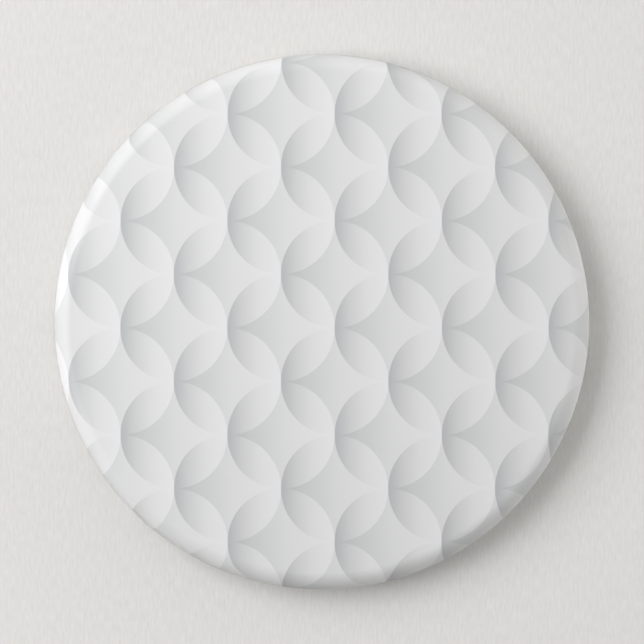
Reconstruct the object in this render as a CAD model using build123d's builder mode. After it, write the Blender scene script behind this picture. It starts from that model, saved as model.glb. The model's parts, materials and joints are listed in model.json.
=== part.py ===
"""Button badge: a domed tin shell wrapped in a printed paper disc and a clear film, crimped
round a stamped back plate that carries one sprung wire pin.

The face looks towards -Y and the back towards +Y, with +Z the top of the artwork. The badge's
axis is Y. Every sheet section below is drawn as distance from the axis across and Y upward.
"""

import os
from math import asin, cos, degrees, radians, sin, sqrt, tan

from build123d import *

os.makedirs("parts", exist_ok=True)

# Whole badge
badge_dia = 101.6  # across the rolled edge, over the film
badge_depth = 9.0  # crown of the face to the back of the rim
face_radius = 440.0  # the face is a very shallow dome
edge_roll_r = 3.8  # where the face turns into the side
curl_r = 1.8  # where the side turns in behind
rim_flat = 1.8  # flat ring the badge lies back on
tuck_r = 1.0  # where the rim dives in against the back plate

# Layers, from the outside in
film_t = 0.10
print_t = 0.12
shell_t = 0.30
layer_gap = 0.02  # air between one layer and the next
tuck_clear = 0.12  # film's hidden edge to the flange of the back plate
layer_trim = 0.1  # each inner layer's edge stops this much short of the one outside it

# Back plate
plate_t = 0.30
panel_y = 0.40  # back surface of the plate's flat panel
flange_y = 1.30  # back surface of the flange caught under the curl
flange_r = 50.10
plate_wall_r = 46.10  # wall that the wrapped layers are squeezed against
wall_foot_r = 0.3
bead_top_y = 3.60
bead_r = 1.10
bead_slope = 60.0  # degrees, inner side of the bead
bead_foot_r = 1.0
stiffener_r = 38.0  # middle of the pressed stiffening ring
stiffener_bend = 1.5
stiffener_slope = 40.0

# Pin wire
wire_dia = 1.0
coil_x, coil_z = -25.0, 14.0
coil_r = 2.8  # to the middle of the wire
coil_turns = 1.5
coil_arcs = 18
arm_rise = 0.2  # the shank's line runs this far above the coil
leg_y = 0.95  # middle of the anchored leg
arm_y = 2.90  # middle of the arm
leg_end_x = -2.0
leg_bend_r = 1.0
leg_end_y = -0.9
root_x = -20.5  # the coil's run-out ends and the straight shank starts
dip_x = 12.0  # beyond this the arm dips slightly towards the plate
dip = 1.2  # degrees
taper_x = 21.5
tip_x = 27.0
tip_dia = 0.16
wire_gap = 0.02  # between one modelled length of the wire and the next

# Features lanced out of the plate for the wire
bridge_xs = (-17.5, -7.5)
bridge_w = 3.2
bridge_slope = 50.0
bridge_foot_r = 0.6
bridge_top_r = 0.95
wire_clear = 0.08  # wire to the underside of a bridge
lance_run = 0.3  # flat stub where a bridge joins the panel
leg_hole_clear = 0.25  # round the turned-down end of the leg
hook_x, hook_w = 19.0, 6.0
hook_foot_r = 0.6
hook_r = 0.70  # inside of the lip, round the middle of the wire
hook_wrap = 100.0
hook_flare_r = 0.4
hook_flare = 45.0
hook_window = 5.0
hook_stub = 1.0  # flat stub where the hook joins the panel
slit = 0.15

wire_r = wire_dia / 2
leg_z = coil_z - coil_r
arm_z = coil_z + coil_r + arm_rise
hook_y = arm_y - (hook_x - dip_x) * tan(radians(dip))  # middle of the wire in the hook
back_y = badge_depth / 2


def bent_sheet(start, steps, near, far):
    """Draw the closed section of a sheet that follows a bent path.

    A step is (length,) for a straight run or (radius, turn) for a bend, positive turning left.
    The sheet fills the band between near and far, measured to the left of the path.
    """
    ends = []
    for shift in (near, far):
        x, y, heading = start[0], start[1], 0.0

        def beside(px, py, h):
            return (px - shift * sin(h), py + shift * cos(h))

        first = last = beside(x, y, heading)
        for step in steps:
            if len(step) == 1:
                x += step[0] * cos(heading)
                y += step[0] * sin(heading)
                here = beside(x, y, heading)
                Line(last, here)
            else:
                side = step[0] if step[1] > 0 else -step[0]
                cx, cy = x - side * sin(heading), y + side * cos(heading)
                half = heading + radians(step[1]) / 2
                heading += radians(step[1])
                middle = beside(cx + side * sin(half), cy - side * cos(half), half)
                x, y = cx + side * sin(heading), cy - side * cos(heading)
                here = beside(x, y, heading)
                ThreePointArc(last, middle, here)
            last = here
        ends.append((first, last))
    Line(ends[0][0], ends[1][0])
    Line(ends[0][1], ends[1][1])


# Path of the badge's outside, from the crown of the face round to the tucked edge
badge_r = badge_dia / 2
roll_x = badge_r - edge_roll_r
dome_turn = degrees(asin(roll_x / (face_radius - edge_roll_r)))
roll_y = face_radius - back_y - sqrt((face_radius - edge_roll_r) ** 2 - roll_x**2)
side_run = back_y - curl_r - roll_y
tuck_run = back_y - tuck_r - flange_y - tuck_clear
outside = [
    (face_radius, dome_turn),
    (edge_roll_r, 90 - dome_turn),
    (side_run,),
    (curl_r, 90),
    (rim_flat,),
    (tuck_r, 90),
]
crown = (0, -back_y)
print_in = film_t + layer_gap
shell_in = print_in + print_t + layer_gap

# Clear polyester film, the outermost skin
with BuildPart() as clear_film:
    with BuildSketch(Plane.XY):
        with BuildLine():
            bent_sheet(crown, outside + [(tuck_run,)], 0, film_t)
        make_face()
    revolve(axis=Axis.Y)
clear_film.part.label = "clear_film"
export_step(clear_film.part, "parts/clear_film.step")

# Printed paper disc under the film
with BuildPart() as artwork_print:
    with BuildSketch(Plane.XY):
        with BuildLine():
            bent_sheet(crown, outside + [(tuck_run - layer_trim,)], print_in, print_in + print_t)
        make_face()
    revolve(axis=Axis.Y)
artwork_print.part.label = "artwork_print"
export_step(artwork_print.part, "parts/artwork_print.step")

# Domed tin shell, its edge curled in behind
with BuildPart() as front_shell:
    with BuildSketch(Plane.XY):
        with BuildLine():
            bent_sheet(crown, outside + [(tuck_run - 2 * layer_trim,)], shell_in, shell_in + shell_t)
        make_face()
    revolve(axis=Axis.Y)
front_shell.part.label = "front_shell"
export_step(front_shell.part, "parts/front_shell.step")

# Stamped back plate: flat panel, stiffening ring, raised bead, then a wall and a flange that
# the shell's curl grips
bead_rise = bead_top_y - panel_y
bead_run = (bead_rise - (bead_foot_r + bead_r) * (1 - cos(radians(bead_slope)))) / sin(
    radians(bead_slope)
)
bead_foot_x = (
    plate_wall_r
    - bead_r
    - (bead_foot_r + bead_r) * sin(radians(bead_slope))
    - bead_run * cos(radians(bead_slope))
)
stiffener_half = 2 * stiffener_bend * sin(radians(stiffener_slope))
wall_run = bead_top_y - bead_r - flange_y - wall_foot_r
plate_path = [
    (stiffener_r - stiffener_half,),
    (stiffener_bend, stiffener_slope),
    (stiffener_bend, -2 * stiffener_slope),
    (stiffener_bend, stiffener_slope),
    (bead_foot_x - stiffener_r - stiffener_half,),
    (bead_foot_r, bead_slope),
    (bead_run,),
    (bead_r, -90 - bead_slope),
    (wall_run,),
    (wall_foot_r, 90),
    (flange_r - plate_wall_r - wall_foot_r,),
]

# Bridge section, drawn as Z across and Y upward, from one foot to the other
bridge_rise = leg_y + wire_r + wire_clear + plate_t - panel_y
bridge_run = (
    bridge_rise - (bridge_foot_r + bridge_top_r) * (1 - cos(radians(bridge_slope)))
) / sin(radians(bridge_slope))
bridge_half = (bridge_foot_r + bridge_top_r) * sin(radians(bridge_slope)) + bridge_run * cos(
    radians(bridge_slope)
)
bridge_path = [
    (lance_run,),
    (bridge_foot_r, bridge_slope),
    (bridge_run,),
    (bridge_top_r, -2 * bridge_slope),
    (bridge_run,),
    (bridge_foot_r, bridge_slope),
    (lance_run,),
]

# Hook section, the same way round: under the wire, up behind it and over its outer side
hook_foot_z = arm_z + hook_r - hook_foot_r
hook_path = [
    (hook_stub,),
    (hook_foot_r, 90),
    (hook_y - panel_y - hook_foot_r,),
    (hook_r, hook_wrap),
    (hook_flare_r, -hook_flare),
]


def across_x(x):
    """Plane across the wire at x, with Z across and Y upward."""
    return Plane(origin=(x, 0, 0), x_dir=(0, 0, 1), z_dir=(-1, 0, 0))


with BuildPart() as back_plate:
    with BuildSketch(Plane.XY):
        with BuildLine():
            bent_sheet((0, panel_y), plate_path, -plate_t, 0)
        make_face()
    revolve(axis=Axis.Y)
    # windows left where metal was lanced up, and the hole for the leg's bent end
    with BuildSketch(Plane(origin=(0, 0, 0), x_dir=(1, 0, 0), z_dir=(0, -1, 0))):
        with Locations(*[(x, leg_z) for x in bridge_xs]):
            Rectangle(bridge_w + 2 * slit, 2 * bridge_half)
        with Locations((hook_x, hook_foot_z + hook_window / 2)):
            Rectangle(hook_w + 2 * slit, hook_window)
        with Locations((leg_end_x, leg_z)):
            Circle(wire_r + leg_hole_clear)
    extrude(amount=-back_y, mode=Mode.SUBTRACT)
    # bridges over the anchored leg
    for x in bridge_xs:
        with BuildSketch(across_x(x)):
            with BuildLine():
                start = (leg_z - bridge_half - lance_run, panel_y)
                bent_sheet(start, bridge_path, -plate_t, 0)
            make_face()
        extrude(amount=bridge_w / 2, both=True)
    # hook that catches the arm, open downward
    with BuildSketch(across_x(hook_x)):
        with BuildLine():
            bent_sheet((hook_foot_z - hook_stub, panel_y), hook_path, -plate_t, 0)
        make_face()
    extrude(amount=hook_w / 2, both=True)
back_plate.part.label = "back_plate"
export_step(back_plate.part, "parts/back_plate.step")

# Anchored leg of the pin wire, its end turned down through the plate
with BuildPart() as pin_anchor:
    with BuildLine() as leg_path:
        bend = (leg_end_x, leg_y - leg_bend_r, leg_z)
        top = (leg_end_x - leg_bend_r, leg_y, leg_z)
        shoulder = leg_bend_r * sin(radians(45))
        middle = (bend[0] - leg_bend_r + shoulder, bend[1] + shoulder, leg_z)
        Line((leg_end_x, leg_end_y, leg_z), bend)
        ThreePointArc(bend, middle, top)
        Line(top, (coil_x + wire_gap, leg_y, leg_z))
    with BuildSketch(Plane(origin=(leg_end_x, leg_end_y, leg_z), z_dir=(0, 1, 0))):
        Circle(wire_r)
    sweep(path=leg_path.wires()[0])
pin_anchor.part.label = "pin_anchor"
export_step(pin_anchor.part, "parts/pin_anchor.step")

# Coil of the pin wire, one and a half turns flat to the plate. Its run-out rises to the shank.
coil_points = []
for i in range(coil_arcs + 1):
    u = i / coil_arcs
    turn = radians(-90 - 360 * coil_turns * u)
    lift = (arm_y - leg_y) * u * u * (3 - 2 * u)
    coil_points.append((coil_x + coil_r * cos(turn), leg_y + lift, coil_z + coil_r * sin(turn)))
run_out_x = root_x - wire_gap
wire_stops = coil_points[1:] + [
    ((coil_x + run_out_x) / 2, arm_y, arm_z - arm_rise / 2),
    (run_out_x, arm_y, arm_z),
]
with BuildPart() as pin_coil:
    with BuildLine() as coil_path:
        here, heading = coil_points[0], (-1, 0, 0)
        for stop in wire_stops:
            arc = TangentArc(here, stop, tangent=heading)
            here, heading = stop, arc % 1
    with BuildSketch(Plane(origin=coil_points[0], z_dir=(-1, 0, 0))):
        Circle(wire_r)
    sweep(path=coil_path.wires()[0])
pin_coil.part.label = "pin_coil"
export_step(pin_coil.part, "parts/pin_coil.step")

# Swinging arm of the pin wire: a straight shank, then a slight dip to the hook and a point
dipped = Plane(
    origin=(dip_x, arm_y, arm_z),
    x_dir=(0, 0, 1),
    z_dir=(cos(radians(dip)), -sin(radians(dip)), 0),
)
taper_run = (taper_x - dip_x) / cos(radians(dip))
tip_run = (tip_x - dip_x) / cos(radians(dip))
with BuildPart() as pin_arm:
    with BuildSketch(Plane(origin=(root_x, arm_y, arm_z), z_dir=(1, 0, 0))):
        Circle(wire_r)
    extrude(amount=dip_x - root_x)
    with BuildSketch(dipped):
        Circle(wire_r)
    extrude(amount=taper_run)
    with BuildSketch(dipped.offset(taper_run)):
        Circle(wire_r)
    with BuildSketch(dipped.offset(tip_run)):
        Circle(tip_dia / 2)
    loft()
pin_arm.part.label = "pin_arm"
export_step(pin_arm.part, "parts/pin_arm.step")
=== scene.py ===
"""Looks for the button badge: the wrapped print and film, the tin shell and back plate, and the
pin wire, each with the finish its real material has, in soft studio light."""

import json
import math

import bmesh
import bpy
from mathutils import Matrix, Vector
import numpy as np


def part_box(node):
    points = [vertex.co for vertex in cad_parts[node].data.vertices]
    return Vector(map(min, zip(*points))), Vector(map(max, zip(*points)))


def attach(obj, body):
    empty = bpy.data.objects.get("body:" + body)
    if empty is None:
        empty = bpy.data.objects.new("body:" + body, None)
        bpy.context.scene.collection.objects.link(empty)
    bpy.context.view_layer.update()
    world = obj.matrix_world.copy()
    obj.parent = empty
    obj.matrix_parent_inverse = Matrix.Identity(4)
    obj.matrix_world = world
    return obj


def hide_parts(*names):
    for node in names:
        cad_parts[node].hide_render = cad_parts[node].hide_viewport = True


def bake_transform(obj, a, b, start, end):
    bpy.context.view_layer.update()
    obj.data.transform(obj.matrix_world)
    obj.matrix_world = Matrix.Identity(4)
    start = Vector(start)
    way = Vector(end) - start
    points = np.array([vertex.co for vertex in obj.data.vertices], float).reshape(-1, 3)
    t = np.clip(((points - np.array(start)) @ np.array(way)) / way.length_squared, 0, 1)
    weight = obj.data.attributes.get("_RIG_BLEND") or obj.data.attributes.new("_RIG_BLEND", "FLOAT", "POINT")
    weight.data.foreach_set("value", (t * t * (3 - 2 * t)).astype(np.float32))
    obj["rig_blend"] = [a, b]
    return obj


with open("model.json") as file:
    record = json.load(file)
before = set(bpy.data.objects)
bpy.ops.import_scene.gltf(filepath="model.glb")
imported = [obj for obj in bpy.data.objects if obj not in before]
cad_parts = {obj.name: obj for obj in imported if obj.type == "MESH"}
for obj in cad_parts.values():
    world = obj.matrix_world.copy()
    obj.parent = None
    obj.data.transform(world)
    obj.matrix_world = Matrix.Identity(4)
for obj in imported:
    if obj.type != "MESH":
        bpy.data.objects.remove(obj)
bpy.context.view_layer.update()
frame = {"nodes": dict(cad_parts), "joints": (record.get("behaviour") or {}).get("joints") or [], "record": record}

MM = 0.001

# Sizes taken from the frame
film_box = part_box("clear_film")
badge_r = film_box[1].x
face_y = film_box[0].y
back_y = film_box[1].y
pin_mount = next(m for m in frame["record"]["mounts"] if m["name"] == "pin")
hinge = next(j for j in frame["joints"] if j["name"] == "pin_swing")

# Section of the wrapped layers, along the same path as their solids
face_radius = 440 * MM
edge_roll_r = 3.8 * MM
curl_r = 1.8 * MM
rim_flat = 1.8 * MM
tuck_r = 1.0 * MM
film_t = 0.10 * MM
print_t = 0.12 * MM
layer_gap = 0.02 * MM
tuck_stop_y = 1.42 * MM  # the film's hidden edge
print_trim = 0.1 * MM  # the print's edge stops this much short of the film's
around = 800  # divisions round the badge

# Pleats gathered behind the edge. Each family has its count round the badge, how far its
# spacing sways, in pleats, a phase, and its height.
pleat_families = ((61, 0.5, 0.3, 0.26 * MM), (37, 0.7, 2.1, 0.17 * MM))
pleat_drop = 0.1  # part of a pleat's width in which its fold drops off
pleat_start_r = badge_r - 0.5 * MM
pleat_full_r = badge_r - 3.0 * MM
tuck_start_r = badge_r - 3.8 * MM  # inside this the pleats lean towards the axis
pleat_side_y = back_y - 1.3 * curl_r  # the sheet is smooth in front of this
pleat_inner_r = badge_r - 6.0 * MM  # and everywhere inside this, which keeps the face out

# The pin wire, from its turned-down end to its point
leg_bend_r = 1.0 * MM
leg_stop_x = 1.5 * MM  # past the middle of the coil
coil_turns = 1.5
run_out = 4.5 * MM  # from the middle of the coil to the straight shank
dip_x = 12.0 * MM  # beyond this the arm dips slightly towards the plate
dip = math.radians(1.2)
dip_ease = 1.0 * MM  # on each side of the bend
taper_x = 21.5 * MM  # where the ground point starts
bend_clear = 0.03 * MM  # as the pin opens, the wire bends no nearer to the arm than this

# The printed pattern, in millimetres: rings on a slanted grid, each crossed by four others, so
# that the crossings make petals with four-sided diamonds between them
ring_r = 10.12
pattern_x, pattern_z = -7.74, -1.12
petal_edge = 0.006  # half the width of a petal's soft edge, in ring radii

# The stage and the camera
card_gap = 1.0 * MM
card_half = 0.45
window_r = badge_r - 0.6 * MM
camera_distance = 0.9
frame_width = 121.9 * MM


def linear(code):
    """sRGB hex code to the linear colour that nodes take."""
    parts = [int(code[i : i + 2], 16) / 255 for i in (1, 3, 5)]
    return [c / 12.92 if c <= 0.04045 else ((c + 0.055) / 1.055) ** 2.4 for c in parts] + [1.0]


def add(tree, kind, links=None, **settings):
    """Add a node. Settings name its properties or, as in_NAME or in_NUMBER, its inputs."""
    node = tree.nodes.new(kind)
    for name, value in settings.items():
        if name.startswith("in_"):
            key = name[3:]
            key = int(key) if key.isdigit() else key.replace("_", " ")
            node.inputs[key].default_value = value
        else:
            setattr(node, name, value)
    for key, source in (links or {}).items():
        tree.links.new(source, node.inputs[key])
    return node


def new_material(name):
    """An empty node material and its output node."""
    material = bpy.data.materials.new(name)
    material.use_nodes = True
    tree = material.node_tree
    tree.nodes.clear()
    return material, tree, add(tree, "ShaderNodeOutputMaterial")


def ramp(tree, source, stops):
    """Colour ramp from a list of (place, hex colour)."""
    node = add(tree, "ShaderNodeValToRGB", {0: source})
    keys = node.color_ramp.elements
    while len(keys) < len(stops):
        keys.new(0.5)
    for key, (place, code) in zip(keys, stops):
        key.position = place
        key.color = linear(code)
    return node.outputs["Color"]


# ---------------------------------------------------------------- materials


def printed_paper():
    """Coated art paper, offset printed. Smooth and even, with the faint tooth of the stock."""
    material, tree, out = new_material("offset_printed_art_paper")
    flat = add(tree, "ShaderNodeUVMap", uv_map="flat_mm")
    # turned 45 degrees and scaled so that each ring's centre is a whole number
    cell = ring_r * math.sqrt(2)
    placed = add(
        tree,
        "ShaderNodeVectorMath",
        {0: flat.outputs[0]},
        operation="SUBTRACT",
        in_1=(pattern_x, pattern_z, 0),
    )
    turned = add(
        tree,
        "ShaderNodeMapping",
        {0: placed.outputs[0]},
        vector_type="POINT",
        in_Rotation=(0, 0, math.radians(45)),
        in_Scale=(1 / cell, 1 / cell, 1),
    )
    wrapped = add(
        tree,
        "ShaderNodeVectorMath",
        {0: turned.outputs[0]},
        operation="WRAP",
        in_1=(0.5, 0.5, 0.5),
        in_2=(-0.5, -0.5, -0.5),
    )
    # back upright, in ring radii from the nearest ring's centre
    near = add(
        tree,
        "ShaderNodeMapping",
        {0: wrapped.outputs[0]},
        vector_type="POINT",
        in_Rotation=(0, 0, math.radians(-45)),
        in_Scale=(math.sqrt(2), math.sqrt(2), 1),
    )
    folded = add(tree, "ShaderNodeVectorMath", {0: near.outputs[0]}, operation="ABSOLUTE")
    corner = add(
        tree,
        "ShaderNodeVectorMath",
        {0: folded.outputs[0]},
        operation="DISTANCE",
        in_1=(1, 1, 0),
    )
    petal = add(
        tree,
        "ShaderNodeMapRange",
        {"Value": corner.outputs["Value"]},
        in_From_Min=1 + petal_edge,
        in_From_Max=1 - petal_edge,
    )
    across = add(tree, "ShaderNodeSeparateXYZ", {0: near.outputs[0]})
    in_diamond = add(
        tree,
        "ShaderNodeMapRange",
        {"Value": across.outputs["X"]},
        in_From_Min=-1,
        in_From_Max=1,
    )
    in_petal = add(
        tree,
        "ShaderNodeMath",
        {0: across.outputs["X"]},
        operation="WRAP",
        in_1=1,
        in_2=0,
    )
    petal_ink = ramp(
        tree,
        in_petal.outputs[0],
        [(0, "#b5b6b8"), (0.28, "#cccdcb"), (0.6, "#dcdcdb"), (1, "#e5e4e4")],
    )
    diamond_ink = ramp(
        tree,
        in_diamond.outputs["Result"],
        [(0, "#b3b4b4"), (0.22, "#c7c9c8"), (0.55, "#dadad9"), (1, "#e6e5e5")],
    )
    ink = add(
        tree,
        "ShaderNodeMix",
        {0: petal.outputs["Result"], 6: diamond_ink, 7: petal_ink},
        data_type="RGBA",
    )
    # paper tooth, 0.12 mm across
    tooth = add(
        tree,
        "ShaderNodeTexNoise",
        {"Vector": flat.outputs[0]},
        in_Scale=1 / 0.12,
        in_Detail=2,
        in_Roughness=0.6,
    )
    bump = add(
        tree,
        "ShaderNodeBump",
        {"Height": tooth.outputs[0]},
        in_Strength=0.03,
        in_Distance=0.02 * MM,
    )
    shader = add(
        tree,
        "ShaderNodeBsdfPrincipled",
        {"Base Color": ink.outputs[2], "Normal": bump.outputs[0]},
        in_Roughness=0.6,
        in_IOR=1.5,
        in_Specular_IOR_Level=0.15,
    )
    tree.links.new(shader.outputs[0], out.inputs[0])
    return material


def clear_polyester():
    """Drawn polyester film, clear, with a soft gloss towards its edges and the slight waviness
    of a pressed skin."""
    material, tree, out = new_material("clear_polyester_film")
    place = add(tree, "ShaderNodeTexCoord")
    wave = add(
        tree,
        "ShaderNodeTexNoise",
        {"Vector": place.outputs["Object"]},
        in_Scale=1 / (2.5 * MM),
        in_Detail=1,
    )
    bump = add(
        tree,
        "ShaderNodeBump",
        {"Height": wave.outputs[0]},
        in_Strength=0.05,
        in_Distance=0.1 * MM,
    )
    facing = add(tree, "ShaderNodeLayerWeight", in_Blend=0.5)
    grazing = add(
        tree,
        "ShaderNodeMath",
        {0: facing.outputs["Facing"]},
        operation="POWER",
        in_1=4,
    )
    gloss = add(
        tree,
        "ShaderNodeMapRange",
        {"Value": grazing.outputs[0]},
        in_To_Min=0.006,
        in_To_Max=0.1,
    )
    through = add(tree, "ShaderNodeBsdfTransparent", in_Color=linear("#fdfdfd"))
    shine = add(
        tree,
        "ShaderNodeBsdfGlossy",
        {"Normal": bump.outputs[0]},
        in_Color=linear("#ffffff"),
        in_Roughness=0.32,
    )
    mix = add(
        tree,
        "ShaderNodeMixShader",
        {0: gloss.outputs["Result"], 1: through.outputs[0], 2: shine.outputs[0]},
    )
    tree.links.new(mix.outputs[0], out.inputs[0])
    return material


def tinplate(name, light, dark, roughness):
    """Cold-rolled steel strip with a flow-melted tin coat: soft silver, with fine lines along
    the way it was rolled and faint handling smudges."""
    material, tree, out = new_material(name)
    place = add(tree, "ShaderNodeTexCoord")
    # rolling lines, drawn 0.25 mm apart so that they show
    stretch = add(
        tree,
        "ShaderNodeMapping",
        {0: place.outputs["Object"]},
        in_Scale=(1 / (14 * MM), 1 / (14 * MM), 1 / (0.25 * MM)),
    )
    lines = add(
        tree,
        "ShaderNodeTexNoise",
        {"Vector": stretch.outputs[0]},
        in_Scale=1,
        in_Detail=3,
    )
    smudge = add(
        tree,
        "ShaderNodeTexNoise",
        {"Vector": place.outputs["Object"]},
        in_Scale=1 / (9 * MM),
        in_Detail=4,
        in_Roughness=0.55,
    )
    tone = add(
        tree,
        "ShaderNodeMath",
        {0: lines.outputs[0], 1: smudge.outputs[0]},
        operation="MULTIPLY_ADD",
        in_2=-0.02,
    )
    colour = ramp(tree, tone.outputs[0], [(0.1, dark), (0.42, light)])
    rough = add(
        tree,
        "ShaderNodeMapRange",
        {"Value": smudge.outputs[0]},
        in_From_Min=0.3,
        in_From_Max=0.7,
        in_To_Min=roughness - 0.07,
        in_To_Max=roughness + 0.07,
    )
    bump = add(
        tree,
        "ShaderNodeBump",
        {"Height": lines.outputs[0]},
        in_Strength=0.12,
        in_Distance=0.03 * MM,
    )
    shader = add(
        tree,
        "ShaderNodeBsdfPrincipled",
        {
            "Base Color": colour,
            "Roughness": rough.outputs["Result"],
            "Normal": bump.outputs[0],
        },
        in_Metallic=1.0,
    )
    tree.links.new(shader.outputs[0], out.inputs[0])
    return material


def plated_wire():
    """Hard-drawn spring wire, nickel plated, then ground to a point: bright, with fine draw
    lines along the shank and ring-shaped grinding marks on the point."""
    material, tree, out = new_material("nickel_plated_spring_wire")
    place = add(tree, "ShaderNodeTexCoord")
    along = add(tree, "ShaderNodeSeparateXYZ", {0: place.outputs["Object"]})
    drawn = add(
        tree,
        "ShaderNodeMapping",
        {0: place.outputs["Object"]},
        in_Scale=(1 / (9 * MM), 1 / (0.12 * MM), 1 / (0.12 * MM)),
    )
    draw_lines = add(
        tree,
        "ShaderNodeTexNoise",
        {"Vector": drawn.outputs[0]},
        in_Scale=1,
        in_Detail=2,
    )
    rings = add(
        tree,
        "ShaderNodeTexNoise",
        {"W": along.outputs["X"]},
        noise_dimensions="1D",
        in_Scale=1 / (0.11 * MM),
        in_Detail=2,
    )
    ground = add(
        tree,
        "ShaderNodeMapRange",
        {"Value": along.outputs["X"]},
        in_From_Min=taper_x - 0.3 * MM,
        in_From_Max=taper_x + 0.3 * MM,
    )
    marks = add(
        tree,
        "ShaderNodeMix",
        {0: ground.outputs["Result"], 2: draw_lines.outputs[0], 3: rings.outputs[0]},
        data_type="FLOAT",
    )
    colour = ramp(tree, marks.outputs[0], [(0.2, "#a9a8a5"), (0.75, "#d6d5d1")])
    rough = add(
        tree,
        "ShaderNodeMapRange",
        {"Value": ground.outputs["Result"]},
        in_To_Min=0.2,
        in_To_Max=0.34,
    )
    bump = add(
        tree,
        "ShaderNodeBump",
        {"Height": marks.outputs[0]},
        in_Strength=0.15,
        in_Distance=0.02 * MM,
    )
    shader = add(
        tree,
        "ShaderNodeBsdfPrincipled",
        {
            "Base Color": colour,
            "Roughness": rough.outputs["Result"],
            "Normal": bump.outputs[0],
        },
        in_Metallic=1.0,
    )
    tree.links.new(shader.outputs[0], out.inputs[0])
    return material


# ---------------------------------------------------------------- shapes


def new_piece(name, bm, material):
    """Turn a finished bmesh into a smooth-shaded piece."""
    mesh = bpy.data.meshes.new(name)
    bm.to_mesh(mesh)
    bm.free()
    mesh.materials.append(material)
    mesh.shade_smooth()
    piece = bpy.data.objects.new(name, mesh)
    bpy.context.scene.collection.objects.link(piece)
    return piece


def wrap_path(bm, depth, tuck_run):
    """Chain of vertices along the badge's section, depth below its outside, from the axis at
    the crown of the face round to the tucked edge. Each vertex keeps its distance along the
    sheet in millimetres. Returns the vertices in order."""
    along = bm.verts.layers.float["along"]
    chain = [bm.verts.new((0, face_y + depth, 0))]
    roll_x = badge_r - edge_roll_r
    dome_turn = math.asin(roll_x / (face_radius - edge_roll_r))
    roll_y = face_y + face_radius - math.sqrt((face_radius - edge_roll_r) ** 2 - roll_x**2)
    curl_y = back_y - curl_r
    flat_x = badge_r - curl_r - rim_flat

    def carry(fresh, length):
        """Spread the distance along the sheet over the fresh vertices, and add them."""
        start = chain[-1][along]
        for i, v in enumerate(fresh):
            v[along] = start + length / MM * (i + 1) / len(fresh)
        chain.extend(fresh)

    def bend(centre, radius, turn, steps):
        """Carry the chain round a bend, turning left."""
        fresh, last = [], chain[-1]
        for i in range(steps):
            made = bmesh.ops.spin(
                bm, geom=[last], cent=(*centre, 0), axis=(0, 0, 1), angle=turn / steps, steps=1
            )
            last = next(g for g in made["geom_last"] if isinstance(g, bmesh.types.BMVert))
            fresh.append(last)
        carry(fresh, radius * turn)

    def run(step, pieces):
        """Carry the chain straight on by a step across and along the axis."""
        fresh, last = [], chain[-1]
        for i in range(pieces):
            last = bmesh.ops.extrude_vert_indiv(bm, verts=[last])["verts"][0]
            last.co += Vector((*step, 0)) / pieces
            fresh.append(last)
        carry(fresh, math.hypot(*step))

    quarter = math.pi / 2
    bend((0, face_y + face_radius), face_radius, dome_turn, steps=8)
    bend((roll_x, roll_y), edge_roll_r, quarter - dome_turn, steps=14)
    run((0, curl_y - roll_y), pieces=2)
    bend((badge_r - curl_r, curl_y), curl_r, quarter, steps=10)
    run((-rim_flat, 0), pieces=3)
    bend((flat_x, back_y - tuck_r), tuck_r, quarter, steps=8)
    run((0, -tuck_run), pieces=3)
    return chain


def wrapped_sheet(name, depth, thickness, tuck_run, material):
    """A disc of sheet wrapped over the shell, gathered in small pleats where it goes behind."""
    bm = bmesh.new()
    bm.verts.layers.float.new("along")
    outer = wrap_path(bm, depth, tuck_run)
    inner = wrap_path(bm, depth + thickness, tuck_run)
    bm.edges.new((outer[-1], inner[-1]))
    bmesh.ops.spin(
        bm,
        geom=bm.verts[:] + bm.edges[:],
        cent=(0, 0, 0),
        axis=(0, 1, 0),
        angle=2 * math.pi,
        steps=around,
        use_merge=True,
    )
    bmesh.ops.remove_doubles(bm, verts=bm.verts[:], dist=0.002 * MM)
    bmesh.ops.recalc_face_normals(bm, faces=bm.faces[:])
    gather(bm)
    along = bm.verts.layers.float["along"]
    flat = bm.loops.layers.uv.new("flat_mm")
    for face in bm.faces:
        for loop in face.loops:
            v = loop.vert
            r = math.hypot(v.co.x, v.co.z)
            scale = v[along] / r if r > 0 else 0
            loop[flat].uv = (v.co.x * scale, v.co.z * scale)
    return new_piece(name, bm, material)


def gather(bm):
    """Lay uneven pleats where the sheet is gathered behind the edge. Each rises slowly and drops
    off on one side like a fold. They start on the outer turn and are tallest where the sheet
    dives in."""
    for v in bm.verts:
        r = math.hypot(v.co.x, v.co.z)
        if v.co.y < pleat_side_y or r < pleat_inner_r:
            continue
        turn = math.atan2(v.co.z, v.co.x)
        grown = min(max((pleat_start_r - r) / (pleat_start_r - pleat_full_r), 0), 1)
        lift = 0
        # the spacing sways 4 and 11 times round the badge, and the height 6 and 9 times
        for count, sway, phase, height in pleat_families:
            place = count * turn / (2 * math.pi) + sway * math.sin(4 * turn + phase)
            place += 0.4 * math.sin(11 * turn + 3 * phase)
            fold = place % 1
            swell = 0.65 + 0.35 * math.sin(6 * turn + 3 * phase) * math.sin(9 * turn + phase)
            lift += height * swell * fold**2 * min(1, (1 - fold) / pleat_drop)
        away = Vector((0, 1, 0)) if r > tuck_start_r else Vector((-0.4 * v.co.x, r, -0.4 * v.co.z))
        v.co += away.normalized() * lift * grown


def ease(u):
    """Smooth step from 0 to 1."""
    return u * u * (3 - 2 * u)


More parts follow.
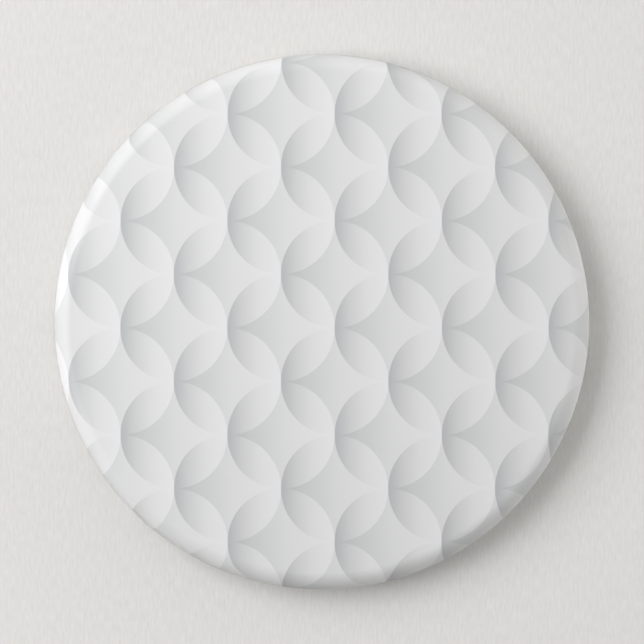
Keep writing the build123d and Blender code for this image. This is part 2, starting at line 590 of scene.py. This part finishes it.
def wire_path():
    """Points along the middle of the pin wire, each with how much of the wire's thickness it
    keeps, from the turned-down end to the point."""
    wire_r = pin_mount["dims"]["r_mm"] * MM
    arm_y, arm_z = pin_mount["pos_m"][1], pin_mount["pos_m"][2]
    coil_x, coil_z = hinge["pos_m"][0], hinge["pos_m"][2]
    leg_lo, leg_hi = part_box("pin_anchor")
    tip_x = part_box("pin_arm")[1].x
    leg_y, leg_z = leg_hi.y - wire_r, (leg_lo.z + leg_hi.z) / 2
    leg_end_x = leg_hi.x - wire_r
    coil_r = coil_z - leg_z
    # turned-down end, its rim broken slightly
    points = [(leg_end_x, leg_lo.y, leg_z, 0.92), (leg_end_x, leg_lo.y + 0.08 * MM, leg_z, 1)]
    steps = 12
    for i in range(steps + 1):
        a = math.radians(90 * i / steps)
        x = leg_end_x - leg_bend_r * (1 - math.cos(a))
        points.append((x, leg_y - leg_bend_r * (1 - math.sin(a)), leg_z, 1))
    points.append((coil_x + leg_stop_x, leg_y, leg_z, 1))
    # coil, which rises from the leg to the arm
    steps = 108
    for i in range(steps + 1):
        u = i / steps
        a = math.radians(-90 - 360 * coil_turns * u)
        x, z = coil_x + coil_r * math.cos(a), coil_z + coil_r * math.sin(a)
        points.append((x, leg_y + (arm_y - leg_y) * ease(u), z, 1))
    # run-out to the shank, and the shank's slight dip
    steps = 12
    for i in range(1, steps + 1):
        u = i / steps
        z = coil_z + coil_r + (arm_z - coil_z - coil_r) * ease(u)
        points.append((coil_x + run_out * u, arm_y, z, 1))
    points.append((dip_x - dip_ease, arm_y, arm_z, 1))
    points.append((dip_x + dip_ease, arm_y - dip_ease * math.tan(dip), arm_z, 1))
    # ground point, rounded down to an eighth of the wire's thickness and closed at its very end
    steps = 24
    for i in range(steps + 1):
        u = i / steps
        x = taper_x + (tip_x - taper_x) * u
        thin = 0.12 + 0.88 * (1 - u**1.5) if i < steps else 0.02
        points.append((x, arm_y - (x - dip_x) * math.tan(dip), arm_z, thin))
    return points


def wire(material):
    """The one pin wire: end turned down through the plate, leg, coil, shank and point."""
    points = wire_path()
    curve = bpy.data.curves.new("pin_wire", "CURVE")
    curve.dimensions = "3D"
    curve.bevel_depth = pin_mount["dims"]["r_mm"] * MM
    curve.bevel_resolution = 8
    curve.use_fill_caps = True
    spline = curve.splines.new("POLY")
    spline.points.add(len(points) - 1)
    for point, (x, y, z, thin) in zip(spline.points, points):
        point.co = (x, y, z, 1)
        point.radius = thin
    holder = bpy.data.objects.new("pin_wire_path", curve)
    bpy.context.scene.collection.objects.link(holder)
    mesh = bpy.data.meshes.new_from_object(holder)
    bpy.data.objects.remove(holder)
    bm = bmesh.new()
    bm.from_mesh(mesh)
    bmesh.ops.remove_doubles(bm, verts=bm.verts[:], dist=0.0005 * MM)
    bmesh.ops.recalc_face_normals(bm, faces=bm.faces[:])
    piece = new_piece("pin_wire", bm, material)
    piece.data.set_sharp_from_angle(angle=math.radians(50))
    return piece


# ---------------------------------------------------------------- the badge

paper = printed_paper()
film = clear_polyester()
tuck_reach = back_y - tuck_r - tuck_stop_y

skin = wrapped_sheet("film_skin", 0, film_t, tuck_reach, film)
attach(skin, "badge")
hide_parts("clear_film")

print_depth = film_t + layer_gap
art = wrapped_sheet("printed_disc", print_depth, print_t, tuck_reach - print_trim, paper)
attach(art, "badge")
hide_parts("artwork_print")

shell_tin = tinplate("rolled_tinplate_shell", "#cfd1d2", "#a9abad", 0.34)
plate_tin = tinplate("rolled_tinplate_back", "#dfe1e2", "#bcbec0", 0.24)
for node, tin in (("front_shell", shell_tin), ("back_plate", plate_tin)):
    mesh = frame["nodes"][node].data
    mesh.materials.clear()
    mesh.materials.append(tin)

pin_wire = wire(plated_wire())
# the wire bends within the coil, above all of the leg and below all of the dipped shank
coil_x, _, coil_z = hinge["pos_m"]
bend_from = (coil_x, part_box("pin_anchor")[1].y, coil_z)
bend_to = (coil_x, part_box("pin_arm")[0].y - bend_clear, coil_z)
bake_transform(pin_wire, "badge", "pin", start=bend_from, end=bend_to)
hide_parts("pin_anchor", "pin_coil", "pin_arm")


# ---------------------------------------------------------------- stage, light and camera


def plaster_card():
    """Pale warm plaster sheet with a fine upright grain. It is one-sided: from behind it is
    open, so that the badge's back can be seen and lit."""
    material, tree, out = new_material("pale_plaster_sheet")
    place = add(tree, "ShaderNodeTexCoord")
    grain_place = add(
        tree,
        "ShaderNodeMapping",
        {0: place.outputs["Object"]},
        in_Scale=(1 / (0.45 * MM), 1, 1 / (2.2 * MM)),
    )
    grain = add(
        tree,
        "ShaderNodeTexNoise",
        {"Vector": grain_place.outputs[0]},
        in_Scale=1,
        in_Detail=3,
    )
    colour = ramp(tree, grain.outputs[0], [(0.2, "#d0cecb"), (0.8, "#dddbd7")])
    bump = add(
        tree,
        "ShaderNodeBump",
        {"Height": grain.outputs[0]},
        in_Strength=0.25,
        in_Distance=0.1 * MM,
    )
    front = add(
        tree,
        "ShaderNodeBsdfPrincipled",
        {"Base Color": colour, "Normal": bump.outputs[0]},
        in_Roughness=0.9,
        in_IOR=1.45,
        in_Specular_IOR_Level=0.1,
    )
    behind = add(tree, "ShaderNodeBsdfTransparent")
    side = add(tree, "ShaderNodeNewGeometry")
    mix = add(
        tree,
        "ShaderNodeMixShader",
        {0: side.outputs["Backfacing"], 1: front.outputs[0], 2: behind.outputs[0]},
    )
    tree.links.new(mix.outputs[0], out.inputs[0])
    return material


def card():
    """The pale sheet the badge lies against, with a round window that the badge covers."""
    bm = bmesh.new()
    bmesh.ops.create_circle(bm, segments=192, radius=window_r)
    made = bmesh.ops.extrude_edge_only(bm, edges=bm.edges[:])
    far = [g for g in made["geom"] if isinstance(g, bmesh.types.BMVert)]
    bmesh.ops.scale(bm, vec=(card_half / window_r,) * 3, verts=far)
    upright = Matrix.Rotation(math.pi / 2, 3, "X")
    bmesh.ops.rotate(bm, cent=(0, 0, 0), matrix=upright, verts=bm.verts[:])
    bmesh.ops.translate(bm, vec=(0, back_y + card_gap, 0), verts=bm.verts[:])
    bmesh.ops.recalc_face_normals(bm, faces=bm.faces[:])
    for face in bm.faces:
        if face.normal.y > 0:
            face.normal_flip()
    piece = new_piece("plaster_sheet", bm, plaster_card())


def softbox(name, place, size, power, colour="#ffffff"):
    """A soft light at a place in metres, of the given width and height, aimed at the badge."""
    light = bpy.data.lights.new(name, "AREA")
    light.shape = "RECTANGLE"
    light.size, light.size_y = size
    light.energy = power
    light.color = linear(colour)[:3]
    lamp = bpy.data.objects.new(name, light)
    lamp.location = place
    lamp.rotation_mode = "QUATERNION"
    away = Vector(place).normalized()
    across = away.cross(Vector((0, 1, 0))).normalized()
    turned = Matrix((across, away.cross(across), away)).transposed()
    lamp.rotation_quaternion = turned.to_quaternion()
    lamp.visible_camera = False
    bpy.context.scene.collection.objects.link(lamp)


def studio():
    """White surroundings, brighter above than below, and four softboxes: the key at upper left,
    a low strip on the right, and two behind for the back plate and the pin."""
    world = bpy.data.worlds.new("soft_studio")
    world.use_nodes = True
    tree = world.node_tree
    sky = tree.nodes["Background"]
    sky.inputs["Color"].default_value = linear("#ffffff")
    height = add(
        tree,
        "ShaderNodeSeparateXYZ",
        {0: add(tree, "ShaderNodeTexCoord").outputs["Generated"]},
    )
    glow = add(
        tree,
        "ShaderNodeMapRange",
        {"Value": height.outputs["Z"]},
        in_From_Min=-1,
        in_From_Max=1,
        in_To_Min=0.28,
        in_To_Max=0.74,
    )
    tree.links.new(glow.outputs["Result"], sky.inputs["Strength"])
    bpy.context.scene.world = world
    softbox("key_softbox", (-0.62, -0.546, 0.2), size=(0.85, 0.6), power=7.55, colour="#fcfcff")
    softbox("low_strip", (0.4, -0.065, 0.07), size=(0.7, 0.09), power=0.7)
    softbox("back_softbox", (-0.46, 0.42, 0.5), size=(0.42, 0.42), power=3.4)
    softbox("back_low_softbox", (0.36, 0.3, -0.25), size=(0.34, 0.34), power=0.32)


def main_camera():
    """Camera square on to the face, with frame_width across the view at the badge's middle."""
    camera = bpy.data.cameras.new("camera")
    camera.lens = camera.sensor_width * camera_distance / frame_width
    viewer = bpy.data.objects.new("camera", camera)
    viewer.location = (0, -camera_distance, 0)
    viewer.rotation_euler = (math.pi / 2, 0, 0)
    bpy.context.scene.collection.objects.link(viewer)
    bpy.context.scene.camera = viewer


card()
studio()
main_camera()
bpy.context.scene.view_settings.view_transform = "Standard"
